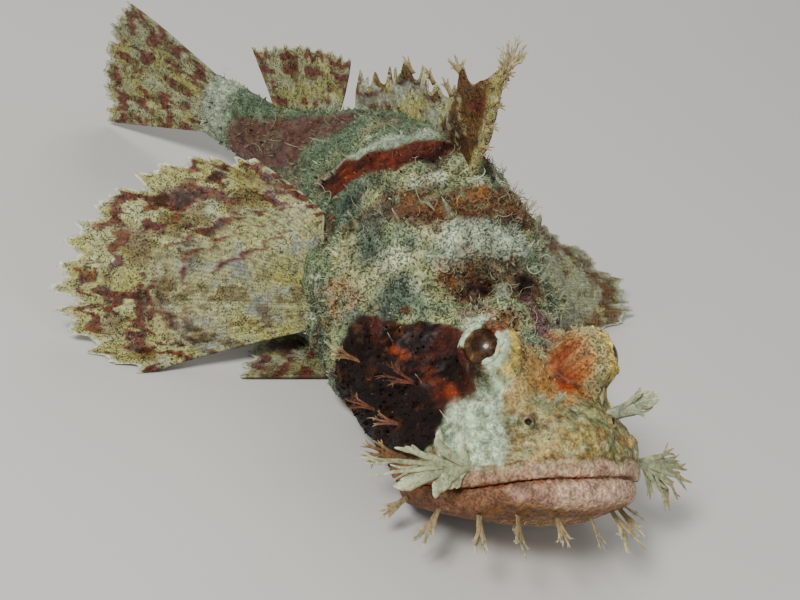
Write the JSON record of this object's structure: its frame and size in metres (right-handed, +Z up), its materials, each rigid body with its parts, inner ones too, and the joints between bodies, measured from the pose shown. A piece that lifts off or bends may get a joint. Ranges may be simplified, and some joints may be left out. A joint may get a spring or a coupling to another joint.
{
  "type": "papuan scorpionfish model",
  "caption": "Life-size still model of a papuan scorpionfish lying on its belly, tail bent to its right, fins spread and skin flaps out.",
  "frame": {"origin": "on the floor, at the middle of the flat of the belly the fish rests on", "axes": "+X towards the snout, +Y to the fish's left, +Z up from the floor"},
  "size_m": [0.2465, 0.1864, 0.1009],
  "materials": {
    "head_skin": "painted mottled skin, pale green, maroon and tan, satin",
    "jaw_skin": "painted pink-beige skin, satin",
    "body_skin": "painted mottled skin with fine filaments, satin",
    "fin_skin": "painted banded and speckled fin skin, satin",
    "eye": "glossy dark brown, clear coated"
  },
  "bodies": {
    "root": {"head": "head_skin", "lower_jaw": "jaw_skin", "trunk_front": "body_skin", "trunk_rear": "body_skin", "tail_stalk": "body_skin", "eye_left": "eye", "eye_right": "eye", "dorsal_fin_spiny": "fin_skin", "dorsal_fin_soft": "fin_skin", "tail_fin": "fin_skin", "anal_fin": "fin_skin", "pectoral_fin_left": "fin_skin", "pectoral_fin_right": "fin_skin", "pelvic_fin_left": "fin_skin", "pelvic_fin_right": "fin_skin"}
  },
  "joints": []
}
